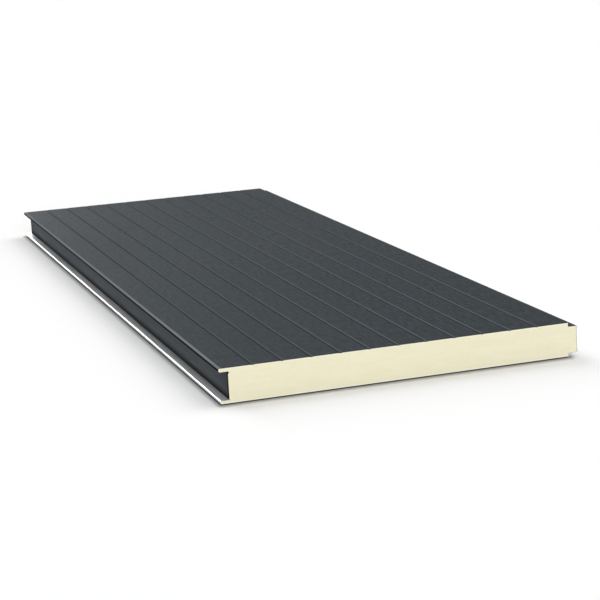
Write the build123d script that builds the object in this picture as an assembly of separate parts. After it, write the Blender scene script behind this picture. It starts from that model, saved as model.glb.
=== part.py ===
from build123d import *
import os

# Insulated sandwich panel: two folded steel sheets bonded to a rigid foam core.
# The panel lies flat, outer face up. X runs across its width, from the groove edge to the
# tongue edge, Y along its length and Z through its thickness. Every piece has one section
# all along the length, so each is drawn in the XZ plane and extruded. Sizes are in mm.

# Overall sizes
cover_width = 1050.0
thickness = 100.0
length = 3000.0

# Sheets and edge strips
outer_gauge = 0.6
inner_gauge = 0.5
strip_gauge = 1.0

# Groove edge: two lips with an open channel between them
groove_depth = 26.0
outer_lip = 11.0
inner_lip = 10.0
lip_radius = 4.5
pocket_depth = 3.0
pocket_height = 6.0
pocket_radius = 2.5
anchor_length = 3.0

# Tongue edge, which enters the groove of the next panel with these gaps left over
face_gap = 4.0
web_gap = 1.5
tongue_clearance = 0.5
step_radius = 1.5
outer_nose_radius = 2.5
inner_nose_radius = 3.5
outer_hem = 7.0
inner_hem = 5.0
hem_return = 3.5
nose_setback = 2.0

# Pressed lines in the outer sheet
line_pitch = 85.0
line_margin = 90.0
line_width = 11.0
line_floor = 4.0
line_depth = 1.0

# Places that follow from the sizes above, measured from the edge of the lips
face_width = cover_width - face_gap
tongue_depth = groove_depth + face_gap - web_gap
tip = face_width + tongue_depth
nose = tip - nose_setback
tongue_top = thickness - outer_lip - tongue_clearance
tongue_foot = inner_lip + tongue_clearance
outer_hem_end = tongue_top - outer_hem
inner_hem_end = tongue_foot + inner_hem
pocket_back = groove_depth + pocket_depth
pocket_top = thickness - outer_lip
pocket_foot = pocket_top - pocket_height
web_top = pocket_foot - outer_gauge
middle = tip / 2


def line_centres():
    """Places across the outer face of the pressed lines, centred on it."""
    count = int((face_width - 2 * line_margin) / line_pitch) + 1
    first = face_width / 2 - line_pitch * (count - 1) / 2
    return [first + line_pitch * i for i in range(count)]


def line_corners(centre):
    """The four corners of one pressed line, from the tongue side to the groove side."""
    floor = thickness - line_depth
    return [
        (centre + line_width / 2, thickness),
        (centre + line_floor / 2, floor),
        (centre - line_floor / 2, floor),
        (centre - line_width / 2, thickness),
    ]


def panel_section():
    """The whole panel's section, each corner given with its bend radius."""
    outer_lip_radius = min(lip_radius, 0.49 * outer_lip)
    inner_lip_radius = min(lip_radius, 0.49 * inner_lip)
    corners = [
        (0, 0, inner_lip_radius),
        (face_width, 0, step_radius),
        (face_width, tongue_foot, step_radius),
        (tip, tongue_foot, inner_nose_radius),
        (tip, inner_hem_end, 0),
        (nose, inner_hem_end, 0),
        (nose, outer_hem_end, 0),
        (tip, outer_hem_end, 0),
        (tip, tongue_top, outer_nose_radius),
        (face_width, tongue_top, step_radius),
        (face_width, thickness, step_radius),
    ]
    for centre in reversed(line_centres()):
        corners += [(x, z, 0) for x, z in line_corners(centre)]
    corners += [
        (0, thickness, outer_lip_radius),
        (0, pocket_top, outer_lip_radius),
        (pocket_back, pocket_top, pocket_radius),
        (pocket_back, pocket_foot, pocket_radius),
        (groove_depth, pocket_foot, 0),
        (groove_depth, inner_lip, 0),
        (0, inner_lip, inner_lip_radius),
    ]
    points = [(x, z) for x, z, radius in corners]
    radii = [radius for x, z, radius in corners]
    return make_face(FilletPolyline(*points, radius=radii, close=True))


def window(low_x, high_x, low_z, high_z):
    """A rectangle of the section plane, given by its sides."""
    place = Pos((low_x + high_x) / 2, (low_z + high_z) / 2)
    return place * Rectangle(high_x - low_x, high_z - low_z)


def rim(section, gauge):
    """The band of one gauge that runs just inside the edge of a section."""
    return section - offset(section, amount=-gauge, kind=Kind.INTERSECTION)


def outer_sheet_section(section):
    """Outer face, lip and pocket at the groove edge, step and hem at the tongue edge.

    The hem turns back behind the nose, anchored in the foam.
    """
    kept = window(0, middle, web_top, thickness)
    kept += window(middle, tip, outer_hem_end, thickness)
    anchor = window(nose - hem_return, nose, outer_hem_end, outer_hem_end + outer_gauge)
    return (rim(section, outer_gauge) & kept) + anchor


def inner_sheet_section(section):
    """Inner face and lip at the groove edge, step and hem at the tongue edge.

    The sheet runs on past the web, and its hem turns back behind the nose, both anchored
    in the foam.
    """
    kept = window(0, middle, 0, inner_lip)
    kept += window(middle, tip, 0, inner_hem_end)
    anchor_start = groove_depth + inner_gauge
    anchors = window(anchor_start, anchor_start + anchor_length, inner_lip - inner_gauge, inner_lip)
    anchors += window(nose - hem_return, nose, inner_hem_end - inner_gauge, inner_hem_end)
    return (rim(section, inner_gauge) & kept) + anchors


def groove_strip_section():
    """The strip that closes the foam on the web of the groove."""
    return window(groove_depth, groove_depth + strip_gauge, inner_lip, web_top)


def tongue_strip_section():
    """The strip that closes the foam on the nose of the tongue, between the two hems."""
    return window(nose - strip_gauge, nose, inner_hem_end, outer_hem_end)


def along_the_panel(section):
    """A section made into a solid of the panel's length, centred on the origin."""
    upright = Plane.XZ * (Pos(-middle, 0) * section)
    return extrude(upright, amount=length / 2, both=True)


def build():
    """Each piece by name. The foam fills all that the other pieces leave."""
    section = panel_section()
    sections = {
        "outer_sheet": outer_sheet_section(section),
        "inner_sheet": inner_sheet_section(section),
        "groove_strip": groove_strip_section(),
        "tongue_strip": tongue_strip_section(),
    }
    core = section
    for piece in sections.values():
        core -= piece
    sections["foam_core"] = core
    return {name: along_the_panel(piece) for name, piece in sections.items()}


os.makedirs("parts", exist_ok=True)
for name, piece in build().items():
    export_step(piece, f"parts/{name}.step")
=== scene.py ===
"""The looks of an insulated sandwich panel: painted sheets, cut foam, floor, light and camera.

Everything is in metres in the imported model's own frame: X across the panel's width, from
the groove edge to the tongue edge, Y along its length, Z up from its inner face.
"""

import math

import bmesh
import bpy
from mathutils import Matrix, Vector, noise


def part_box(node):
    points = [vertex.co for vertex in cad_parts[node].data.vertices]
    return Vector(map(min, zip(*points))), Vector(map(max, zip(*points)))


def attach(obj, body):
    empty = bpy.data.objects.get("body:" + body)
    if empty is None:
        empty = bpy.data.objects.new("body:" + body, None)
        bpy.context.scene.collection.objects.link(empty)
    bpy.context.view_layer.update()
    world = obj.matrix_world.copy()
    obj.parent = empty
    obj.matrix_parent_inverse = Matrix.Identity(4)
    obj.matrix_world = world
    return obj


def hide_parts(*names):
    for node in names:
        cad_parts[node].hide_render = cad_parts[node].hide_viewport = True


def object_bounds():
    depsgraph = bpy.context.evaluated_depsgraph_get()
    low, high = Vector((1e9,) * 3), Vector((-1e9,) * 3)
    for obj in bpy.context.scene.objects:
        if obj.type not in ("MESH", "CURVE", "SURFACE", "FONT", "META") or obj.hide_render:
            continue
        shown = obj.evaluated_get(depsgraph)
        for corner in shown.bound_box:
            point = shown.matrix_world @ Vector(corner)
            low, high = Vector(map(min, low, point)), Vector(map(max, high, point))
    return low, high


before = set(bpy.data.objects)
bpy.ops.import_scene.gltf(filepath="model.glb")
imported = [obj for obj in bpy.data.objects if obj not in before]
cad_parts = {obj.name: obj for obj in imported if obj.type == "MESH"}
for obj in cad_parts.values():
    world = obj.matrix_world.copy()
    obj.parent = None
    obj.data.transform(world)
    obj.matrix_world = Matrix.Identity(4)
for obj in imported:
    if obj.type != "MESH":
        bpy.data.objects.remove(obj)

panel_low, panel_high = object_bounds()

# Places that the looks refer to, worked out from the panel's box. The paint changes across
# the panel between two places that lie this margin inside its long edges, a painted sheen
# that is lighter toward the groove edge
edge_margin = 0.03725
groove_edge = panel_low[0]
groove_side = panel_low[0] + edge_margin
tongue_side = panel_high[0] - edge_margin
front_end, far_end = panel_low[1], panel_high[1]
bottom, top = panel_low[2], panel_high[2]

# The camera, as fitted to the panel's edges in the photograph
image_width = 600.0
sensor_width = 36.0
focal_length = 1835.0
camera_place = Vector((-1.7805, -6.1504, 1.3216))
camera_yaw = -17.722
camera_pitch = 12.244
camera_roll = -3.091
view_reach = 200.0

# Light from all sides, and soft suns. Each level is the brightness of a white surface that
# faces the light, each angle is in degrees, and each direction is the way that light travels
sky_level = 0.25
suns = {
    "key": (0.39, 50.0, (-0.75, -0.25, -1.0)),
    "back": (0.225, 22.0, (0.20, -0.90, -0.36)),
    "high": (0.405, 40.0, (0.10, -0.80, -0.80)),
    "gleam": (0.08, 14.0, (-0.05, -0.98, -0.17)),
    "fill": (0.80, 40.0, (0.10, 1.0, -0.20)),
}

# Floor, with a painted contact shadow: darker for a short way beside the panel and darkest
# under it. It reaches its darkest within a share of that way, the covered reach, inside the
# panel's outline
floor_gap = 0.003
floor_reach = 60.0
floor_white = 0.913
floor_bounce = 0.5
contact_side = 0.018
contact_end = 0.036
contact_shade = 0.45
covered_reach = 0.1
covered_shade = 0.2

# Depth of the tongue beyond the panel's face
tongue_reach = 0.0285

# Relief of the sawn foam ends
cut_pitch = 0.0025
cut_depth = 0.0004
ripple_scale = (45, 3, 160)
dent_scale = (210, 5, 210)

# Dull bare steel, its darkest and lightest grain. It is kept darker than the steel's own
# grey, a painted shade for the dark line along the panel's foot
steel_dark = (0.10, 0.10, 0.10, 1)
steel_light = (0.16, 0.16, 0.16, 1)


class Nodes:
    """A node tree, with short ways to add and join nodes."""

    def __init__(self, tree):
        self.tree = tree

    def node(self, kind, **settings):
        made = self.tree.nodes.new(kind)
        for name, value in settings.items():
            setattr(made, name, value)
        return made

    def feed(self, socket, value):
        """Joins an output to a socket, or sets a plain value on it."""
        if isinstance(value, bpy.types.NodeSocket):
            self.tree.links.new(value, socket)
        else:
            socket.default_value = value

    def math(self, operation, first, second=0.0):
        made = self.node("ShaderNodeMath", operation=operation)
        self.feed(made.inputs[0], first)
        self.feed(made.inputs[1], second)
        return made.outputs[0]

    def times(self, first, second):
        return self.math("MULTIPLY", first, second)

    def most(self, first, second):
        return self.math("MAXIMUM", first, second)

    def ramp(self, value, low, high, to_low=0.0, to_high=1.0, **settings):
        """A value carried from one range into another, held at its ends unless clamp is off."""
        made = self.node("ShaderNodeMapRange", **settings)
        made.inputs["From Min"].default_value = low
        made.inputs["From Max"].default_value = high
        made.inputs["To Min"].default_value = to_low
        made.inputs["To Max"].default_value = to_high
        self.feed(made.inputs["Value"], value)
        return made.outputs["Result"]

    def spread(self, value, low, high, to_low=0.0, to_high=1.0):
        """A value carried from one range into another, eased at both ends."""
        return self.ramp(value, low, high, to_low, to_high, interpolation_type="SMOOTHSTEP")

    def split(self, vector):
        """The three parts of a vector."""
        made = self.node("ShaderNodeSeparateXYZ")
        self.feed(made.inputs[0], vector)
        return made.outputs


class Shade(Nodes):
    """A surface material, with the places and directions that its colours follow."""

    def __init__(self, name):
        self.material = bpy.data.materials.new(name)
        self.material.use_nodes = True
        super().__init__(self.material.node_tree)
        self.surface = self.tree.nodes["Principled BSDF"]
        spots = self.node("ShaderNodeTexCoord").outputs
        self.place = spots["Object"]
        self.across, self.along, self.height = self.split(self.place)
        self.facing_across, self.facing_along, self.facing_up = self.split(spots["Normal"])

    def set(self, **values):
        """Sockets of the surface shader, named with _ for each space."""
        for name, value in values.items():
            self.feed(self.surface.inputs[name.replace("_", " ")], value)

    def stretched(self, x, y, z):
        """The place on the object with each axis scaled."""
        made = self.node("ShaderNodeVectorMath", operation="MULTIPLY")
        self.feed(made.inputs[0], self.place)
        made.inputs[1].default_value = (x, y, z)
        return made.outputs[0]

    def grain(self, vector, scale, detail=2.0, roughness=0.5, warp=0.0):
        """Smooth noise, with lumps about 1 / scale metres wide."""
        made = self.node("ShaderNodeTexNoise")
        self.feed(made.inputs["Vector"], vector)
        made.inputs["Scale"].default_value = scale
        made.inputs["Detail"].default_value = detail
        made.inputs["Roughness"].default_value = roughness
        made.inputs["Distortion"].default_value = warp
        return made.outputs["Fac"]

    def cells(self, vector, scale):
        """How far the nearest of many scattered points is, about 1 / scale metres apart."""
        made = self.node("ShaderNodeTexVoronoi")
        self.feed(made.inputs["Vector"], vector)
        made.inputs["Scale"].default_value = scale
        return made.outputs["Distance"]

    def mix(self, share, first, second):
        """Two colours mixed, all of the second where the share is 1."""
        made = self.node("ShaderNodeMix", data_type="RGBA")
        # These are its sockets for colours. Those for numbers and vectors have the same names
        first_colour, second_colour, mixed_colour = made.inputs[6], made.inputs[7], made.outputs[2]
        self.feed(made.inputs["Factor"], share)
        self.feed(first_colour, first)
        self.feed(second_colour, second)
        return mixed_colour

    def bump(self, height, distance, under=None):
        """Fine relief of a height that runs from 0 to 1, over any relief given before."""
        made = self.node("ShaderNodeBump")
        made.inputs["Distance"].default_value = distance
        self.feed(made.inputs["Height"], height)
        if under:
            self.feed(made.inputs["Normal"], under)
        return made.outputs["Normal"]

    def on_sawn_ends(self, colour, end_colour):
        """A colour for the long faces with another on the panel's sawn ends."""
        sawn = self.spread(self.math("ABSOLUTE", self.facing_along), 0.5, 0.9)
        return self.mix(sawn, colour, end_colour)

    def steel(self):
        """The dull grain of bare sawn steel, kept dark as a painted shade along the panel's foot."""
        return self.mix(self.grain(self.place, 700), steel_dark, steel_light)


def tone(colour, factor):
    """A colour made lighter or darker."""
    return tuple(part * factor for part in colour[:3]) + (1,)


def give(name, material):
    """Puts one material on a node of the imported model."""
    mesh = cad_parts[name].data
    mesh.materials.clear()
    mesh.materials.append(material)


def coating(shade, paint, patches):
    """The outer paint's own tone, mottle, streaks, speckle and flakes, over a painted sheen that
    lightens it toward the groove edge.
    """
    streaks = shade.grain(shade.stretched(1, 0.02, 1), 60, 3, 0.6)
    mottle = shade.grain(shade.stretched(1, 0.2, 1), 100, 3, 0.65)
    speckle = shade.grain(shade.place, 90, 3, 0.7)
    flakes = shade.grain(shade.place, 1100, 1, 0.5)
    colour = shade.mix(shade.spread(mottle, 0.38, 0.62, 0, 0.85), tone(paint, 1.35), tone(paint, 0.3))
    layers = (
        # painted sheen: the paint is lighter toward the groove edge
        (shade.spread(shade.across, tongue_side, groove_side, 0.1, 0.4), 1.15),
        (shade.spread(patches, 0.3, 0.7, 0, 0.2), 1.2),
        (shade.spread(streaks, 0.3, 0.75, 0, 0.15), 1.2),
        (shade.spread(speckle, 0.35, 0.65, 0, 0.75), 0.7),
        (shade.spread(flakes, 0.45, 0.75, 0, 0.5), 1.3),
    )
    for share, factor in layers:
        colour = shade.mix(share, colour, tone(paint, factor))
    return colour


def painted_line_shade(shade):
    """How much painted shade lies in the lines' floors: most toward the groove edge and the far end."""
    line_depth = 0.001
    line_shade_start = 0.3
    line_shade_run = 2.0
    line_floor = shade.spread(shade.height, top - 0.2 * line_depth, top - 0.8 * line_depth)
    toward_groove = shade.spread(shade.across, line_shade_start, groove_side)
    toward_far_end = shade.spread(shade.along, front_end, front_end + line_shade_run, 0.2, 1)
    return shade.times(line_floor, shade.times(toward_groove, toward_far_end))


def painted_line_highlight(shade):
    """How strong the painted highlight on the folds is.

    It is less toward the groove edge and the far end, and least in the corner where the far
    end meets the tongue edge.
    """
    full_highlight_place = 0.1
    along_share = 1 / 3
    toward_tongue = shade.spread(shade.across, groove_side, full_highlight_place, 0.6, 1)
    toward_front = shade.spread(shade.along, far_end, front_end, 0.8, 1)
    diagonal = shade.math("ADD", shade.across, shade.times(shade.along, along_share))
    off_corner = shade.spread(diagonal, 0.25, 1.0, 1, 0.2)
    return shade.times(shade.times(toward_tongue, toward_front), off_corner)


def outer_paint():
    """Matt anthracite coil coating with painted highlights on folds and bare steel where sawn.

    The faces that lean to the groove edge carry a painted highlight: one side of each pressed
    line, and most of all the lip's bend. The other side of each line is darker, a painted shade,
    and so are the lines' floors. Faces that don't look up carry a painted shade, darkest at the
    front end and lightening along the panel.
    """
    paint = (0.0275, 0.0345, 0.0395, 1)
    dimmest_highlight, brightest_highlight = (0.045, 0.051, 0.056, 1), (0.096, 0.106, 0.114, 1)
    front_bend_highlight, far_bend_highlight = (0.17, 0.182, 0.19, 1), (0.12, 0.13, 0.138, 1)
    bend_reach = 0.010
    shade = Shade("outer_paint")
    patches = shade.grain(shade.stretched(1, 0.35, 1), 2.2, 3, 0.6)
    slope = shade.spread(shade.math("ABSOLUTE", shade.facing_across), 0.05, 0.25)
    lengthwise = shade.spread(shade.along, front_end, far_end)
    colour = coating(shade, paint, patches)
    # painted shade in the floors of the pressed lines
    colour = shade.mix(painted_line_shade(shade), colour, tone(paint, 0.4))
    # painted highlight on faces that lean to the groove edge: one side of each line, the lip's bend
    fold_highlight = shade.mix(painted_line_highlight(shade), dimmest_highlight, brightest_highlight)
    colour = shade.mix(shade.spread(shade.facing_across, -0.05, -0.25), colour, fold_highlight)
    # painted highlight along the lip's bend on the top face, brighter at the front end
    bend = shade.spread(shade.across, groove_edge + bend_reach, groove_edge + bend_reach / 2)
    colour = shade.mix(bend, colour, shade.mix(lengthwise, front_bend_highlight, far_bend_highlight))
    # painted shade on faces that lean to the tongue edge: the other side of each pressed line
    colour = shade.mix(shade.spread(shade.facing_across, 0.05, 0.25), colour, tone(paint, 0.3))
    # painted shade on faces that don't look up, such as under the lip: darkest at the front end
    under = shade.mix(lengthwise, tone(paint, 0.2), tone(paint, 1.2))
    colour = shade.mix(shade.spread(shade.facing_up, 0.5, 0.25), colour, under)
    shade.set(
        Base_Color=shade.on_sawn_ends(colour, shade.steel()),
        Roughness=shade.most(shade.spread(patches, 0.3, 0.7, 0.48, 0.52), slope),
        Specular_IOR_Level=0.01,
        Normal=shade.bump(shade.grain(shade.place, 260), 0.00002),
    )
    return shade.material


def inner_paint():
    """Silver grey coil coating, rolled along the length, with bare steel at the sawn ends.

    The top of the lip carries a painted shade, lighter on its last stretch at the front end.
    """
    lighter_front_run = 0.08
    shade = Shade("inner_paint")
    streaks = shade.grain(shade.stretched(1, 0.015, 1), 220, 4, 0.6)
    patches = shade.grain(shade.place, 3)
    flakes = shade.grain(shade.place, 1400, 1, 0.5)
    colour = shade.mix(shade.spread(streaks, 0.3, 0.7), (0.70, 0.71, 0.72, 1), (0.80, 0.81, 0.82, 1))
    colour = shade.mix(shade.spread(patches, 0.35, 0.7, 0, 0.3), colour, (0.66, 0.68, 0.70, 1))
    colour = shade.mix(shade.spread(flakes, 0.5, 0.75, 0, 0.5), colour, (0.88, 0.88, 0.88, 1))
    # painted shade on the upward faces: the lip's top inside the groove
    upward = shade.spread(shade.facing_up, 0.5, 0.95, 0, 0.2)
    painted_shade = shade.times(upward, shade.spread(shade.along, front_end + lighter_front_run, front_end, 1, 0.3))
    colour = shade.mix(painted_shade, colour, (0.24, 0.24, 0.24, 1))
    shade.set(
        Base_Color=shade.on_sawn_ends(colour, shade.steel()),
        Metallic=0.55,
        Roughness=shade.spread(streaks, 0.3, 0.7, 0.26, 0.36),
        Normal=shade.bump(shade.grain(shade.place, 300), 0.00003),
    )
    return shade.material


def foam():
    """Pale yellow rigid foam: fine cells, flow lines and faint saw marks on its sawn ends.

    A paler, denser skin lies close to both sheets and fades out with the depth below them.
    """
    top_skin_full, top_skin_end = 0.002, 0.0045
    bottom_skin_full, bottom_skin_end = 0.0025, 0.005
    shade = Shade("foam")
    flow = shade.grain(shade.stretched(0.35, 1, 1.6), 28, 4, 0.62, 0.8)
    clouds = shade.grain(shade.place, 7, 3, 0.55)
    cells = shade.cells(shade.place, 900)
    pores = shade.cells(shade.place, 210)
    saw = shade.grain(shade.stretched(1, 1, 0.12), 170, 2, 0.5, 0.3)
    colour = shade.mix(shade.spread(flow, 0.32, 0.68), (0.82, 0.777, 0.567, 1), (0.855, 0.815, 0.605, 1))
    colour = shade.mix(shade.spread(clouds, 0.35, 0.65, 0, 0.35), colour, (0.835, 0.79, 0.565, 1))
    colour = shade.mix(shade.spread(cells, 0.25, 0.75, 0, 0.30), colour, (0.90, 0.87, 0.68, 1))
    colour = shade.mix(shade.spread(pores, 0.13, 0.02, 0, 0.5), colour, (0.60, 0.545, 0.36, 1))
    top_skin = shade.spread(shade.height, top - top_skin_end, top - top_skin_full, 0, 0.6)
    bottom_skin = shade.spread(shade.height, bottom + bottom_skin_end, bottom + bottom_skin_full, 0, 0.6)
    colour = shade.mix(shade.most(top_skin, bottom_skin), colour, (0.95, 0.93, 0.80, 1))
    relief = shade.bump(shade.spread(pores, 0.02, 0.2), 0.0004)
    relief = shade.bump(saw, 0.0003, relief)
    relief = shade.bump(cells, 0.0003, relief)
    shade.set(Base_Color=colour, Roughness=0.9, Specular_IOR_Level=0.15, Normal=relief)
    return shade.material


def wrinkles_and_clouds(shade):
    """The lengthwise creases and the cloudy unevenness of both edge strips."""
    wrinkles = shade.grain(shade.stretched(1, 0.06, 1), 130, 3, 0.6)
    clouds = shade.grain(shade.stretched(1, 0.5, 1), 16, 3, 0.6)
    return wrinkles, clouds


def groove_strip():
    """Matt dark strip on the web of the groove, with painted shade toward its foot and both ends.

    The very foot and the last stretch before each end are painted nearly black, a painted shade.
    """
    paint = (0.075, 0.088, 0.0975, 1)
    foot_shade_height, end_shade_run = 0.035, 0.12
    black_height, black_full_height = 0.0065, 0.0025
    black_run, black_full_run = 0.020, 0.008
    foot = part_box("groove_strip")[0][2]
    shade = Shade("groove_strip")
    wrinkles, clouds = wrinkles_and_clouds(shade)
    off_middle = shade.math("ABSOLUTE", shade.along)
    colour = shade.mix(shade.spread(clouds, 0.3, 0.7), tone(paint, 0.85), tone(paint, 1.15))
    colour = shade.mix(shade.spread(wrinkles, 0.35, 0.7, 0, 0.4), colour, tone(paint, 1.4))
    # painted shade toward the foot of the web and toward both ends
    painted_shade = shade.most(
        shade.spread(shade.height, foot + foot_shade_height, foot),
        shade.spread(off_middle, far_end - end_shade_run, far_end, 0, 0.5),
    )
    colour = shade.mix(painted_shade, colour, tone(paint, 0.3))
    # painted shade, nearly black, at the very foot and at each end
    black = shade.most(
        shade.spread(shade.height, foot + black_height, foot + black_full_height),
        shade.spread(off_middle, far_end - black_run, far_end - black_full_run),
    )
    colour = shade.mix(black, colour, (0.008, 0.008, 0.008, 1))
    shade.set(
        Base_Color=colour,
        Roughness=shade.most(shade.spread(clouds, 0.3, 0.7, 0.5, 0.62), painted_shade),
        Specular_IOR_Level=0.03,
        Normal=shade.bump(wrinkles, 0.0002),
    )
    return shade.material


def tongue_strip():
    """Light grey strip on the nose of the tongue, lightly creased along its length."""
    shade = Shade("tongue_strip")
    wrinkles, clouds = wrinkles_and_clouds(shade)
    colour = shade.mix(shade.spread(clouds, 0.3, 0.7), (0.50, 0.50, 0.49, 1), (0.60, 0.60, 0.59, 1))
    colour = shade.mix(shade.spread(wrinkles, 0.35, 0.7, 0, 0.4), colour, (0.66, 0.66, 0.65, 1))
    shade.set(
        Base_Color=shade.on_sawn_ends(colour, (0.12, 0.11, 0.10, 1)),
        Roughness=shade.spread(clouds, 0.3, 0.7, 0.45, 0.6),
        Specular_IOR_Level=0.3,
        Normal=shade.bump(wrinkles, 0.0002),
    )
    return shade.material


def cut_planes(mesh, low, high, direction):
    """Cuts a mesh along one axis at even steps of about the relief's pitch."""
    steps = round((high - low) / cut_pitch)
    for step in range(1, steps):
        place = direction * (low + (high - low) * step / steps)
        geometry = mesh.verts[:] + mesh.edges[:] + mesh.faces[:]
        bmesh.ops.bisect_plane(mesh, geom=geometry, plane_co=place, plane_no=direction)


def unevenness(spot, scale):
    """Smooth noise at a place, from -1 to 1, with a scale of its own on each axis."""
    return noise.noise(Vector([part * factor for part, factor in zip(spot, scale)]))


def sink_ends(mesh):
    """Moves the points inside both sawn ends inwards, each by an uneven depth."""
    square_on = 0.9
    for vert in mesh.verts:
        if all(abs(face.normal.y) > square_on for face in vert.link_faces):
            ripples = unevenness(vert.co, ripple_scale)
            dents = unevenness(vert.co, dent_scale)
            depth = cut_depth * min(max(0.5 + 0.45 * ripples + 0.5 * dents, 0), 1)
            vert.co.y -= math.copysign(depth, vert.co.y)


def make_foam():
    """The foam core again, with uneven sawn ends."""
    merge_distance = 1e-6
    flat_angle = 0.001
    mesh = bmesh.new()
    mesh.from_mesh(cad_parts["foam_core"].data)
    bmesh.ops.remove_doubles(mesh, verts=mesh.verts, dist=merge_distance)
    bmesh.ops.dissolve_limit(mesh, angle_limit=flat_angle, verts=mesh.verts, edges=mesh.edges)
    low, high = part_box("foam_core")
    cut_planes(mesh, low[0], high[0], Vector((1, 0, 0)))
    cut_planes(mesh, low[2], high[2], Vector((0, 0, 1)))
    mesh.normal_update()
    sink_ends(mesh)
    data = bpy.data.meshes.new("foam_core_cut")
    mesh.to_mesh(data)
    mesh.free()
    piece = bpy.data.objects.new("foam_core_cut", data)
    bpy.context.scene.collection.objects.link(piece)
    data.materials.append(foam())
    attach(piece, "root")
    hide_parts("foam_core")


def make_camera():
    """The photograph's viewpoint, turned by yaw, pitch and roll, in degrees."""
    yaw = math.radians(camera_yaw)
    pitch = math.radians(camera_pitch)
    roll = math.radians(camera_roll)
    forward = Vector((
        -math.sin(yaw) * math.cos(pitch),
        math.cos(yaw) * math.cos(pitch),
        -math.sin(pitch),
    ))
    level_right = Vector((math.cos(yaw), math.sin(yaw), 0))
    level_up = level_right.cross(forward)
    right = math.cos(roll) * level_right + math.sin(roll) * level_up
    up = math.cos(roll) * level_up - math.sin(roll) * level_right
    data = bpy.data.cameras.new("camera")
    data.sensor_width = sensor_width
    data.lens = sensor_width * focal_length / image_width
    data.clip_end = view_reach
    camera = bpy.data.objects.new("camera", data)
    bpy.context.scene.collection.objects.link(camera)
    turn = Matrix((right, up, -forward)).transposed()
    camera.matrix_world = Matrix.Translation(camera_place) @ turn.to_4x4()
    bpy.context.scene.camera = camera


def seen_rays(nodes):
    """1 for rays that show the background: straight from the camera, mirrored or passed on."""
    path = nodes.node("ShaderNodeLightPath").outputs
    mirrored = nodes.most(path["Is Camera Ray"], path["Is Glossy Ray"])
    return nodes.most(mirrored, path["Is Transmission Ray"])


def add_sun(name, level, angle, direction):
    """A soft sun whose light makes a white surface that faces it as bright as its level."""
    data = bpy.data.lights.new(name, "SUN")
    data.energy = level * math.pi
    data.angle = math.radians(angle)
    sun = bpy.data.objects.new(name, data)
    sun.rotation_mode = "QUATERNION"
    sun.rotation_quaternion = Vector(direction).to_track_quat("-Z", "Y")
    bpy.context.scene.collection.objects.link(sun)


def light_scene():
    """A white sky, dimmed for all but the rays that show the background, and the suns."""
    world = bpy.data.worlds.new("world")
    bpy.context.scene.world = world
    world.use_nodes = True
    nodes = Nodes(world.node_tree)
    background = world.node_tree.nodes["Background"]
    background.inputs["Color"].default_value = (1, 1, 1, 1)
    nodes.feed(background.inputs["Strength"], nodes.ramp(seen_rays(nodes), 0, 1, sky_level, 1))
    for name, (level, angle, direction) in suns.items():
        add_sun(name, level, angle, direction)


def outside(nodes, place, low, high, reach):
    """How far a place lies beyond a span, as a share of the reach, below 0 inside the span."""
    middle, half = (low + high) / 2, (high - low) / 2
    off_middle = nodes.math("ABSOLUTE", nodes.math("SUBTRACT", place, middle))
    return nodes.ramp(off_middle, half, half + reach, clamp=False)


def painted_contact_shadow(nodes):
    """1 on the open floor, lower close to the panel and lowest under it: a painted contact shadow."""
    spot = nodes.split(nodes.node("ShaderNodeTexCoord").outputs["Object"])
    face_end = panel_high[0] - tongue_reach
    beyond_side = outside(nodes, spot["X"], groove_edge, face_end, contact_side)
    beyond_end = outside(nodes, spot["Y"], front_end, far_end, contact_end)
    both = nodes.node("ShaderNodeCombineXYZ")
    nodes.feed(both.inputs["X"], nodes.most(beyond_side, 0.0))
    nodes.feed(both.inputs["Y"], nodes.most(beyond_end, 0.0))
    away = nodes.node("ShaderNodeVectorMath", operation="LENGTH")
    nodes.feed(away.inputs[0], both.outputs[0])
    near = nodes.spread(away.outputs["Value"], 0, 1, contact_shade, 1)
    covered = nodes.ramp(nodes.most(beyond_side, beyond_end), -covered_reach, 0, covered_shade, 1)
    return nodes.times(near, covered)


def make_floor():
    """A floor just below the panel, palest for the rays that show the background, with a painted contact
    shadow.
    """
    mesh = bpy.data.meshes.new("floor")
    signs = ((-1, -1), (1, -1), (1, 1), (-1, 1))
    corners = [(x * floor_reach, y * floor_reach, -floor_gap) for x, y in signs]
    mesh.from_pydata(corners, [], [(0, 1, 2, 3)])
    floor = bpy.data.objects.new("floor", mesh)
    bpy.context.scene.collection.objects.link(floor)
    material = bpy.data.materials.new("floor")
    material.use_nodes = True
    tree = material.node_tree
    tree.nodes.remove(tree.nodes["Principled BSDF"])
    nodes = Nodes(tree)
    level = nodes.ramp(seen_rays(nodes), 0, 1, floor_bounce, floor_white)
    diffuse = nodes.node("ShaderNodeBsdfDiffuse")
    nodes.feed(diffuse.inputs["Color"], nodes.times(level, painted_contact_shadow(nodes)))
    nodes.feed(tree.nodes["Material Output"].inputs["Surface"], diffuse.outputs[0])
    mesh.materials.append(material)


give("outer_sheet", outer_paint())
give("inner_sheet", inner_paint())
give("groove_strip", groove_strip())
give("tongue_strip", tongue_strip())
make_foam()

make_camera()
light_scene()
make_floor()

bpy.context.scene.view_settings.view_transform = "Standard"
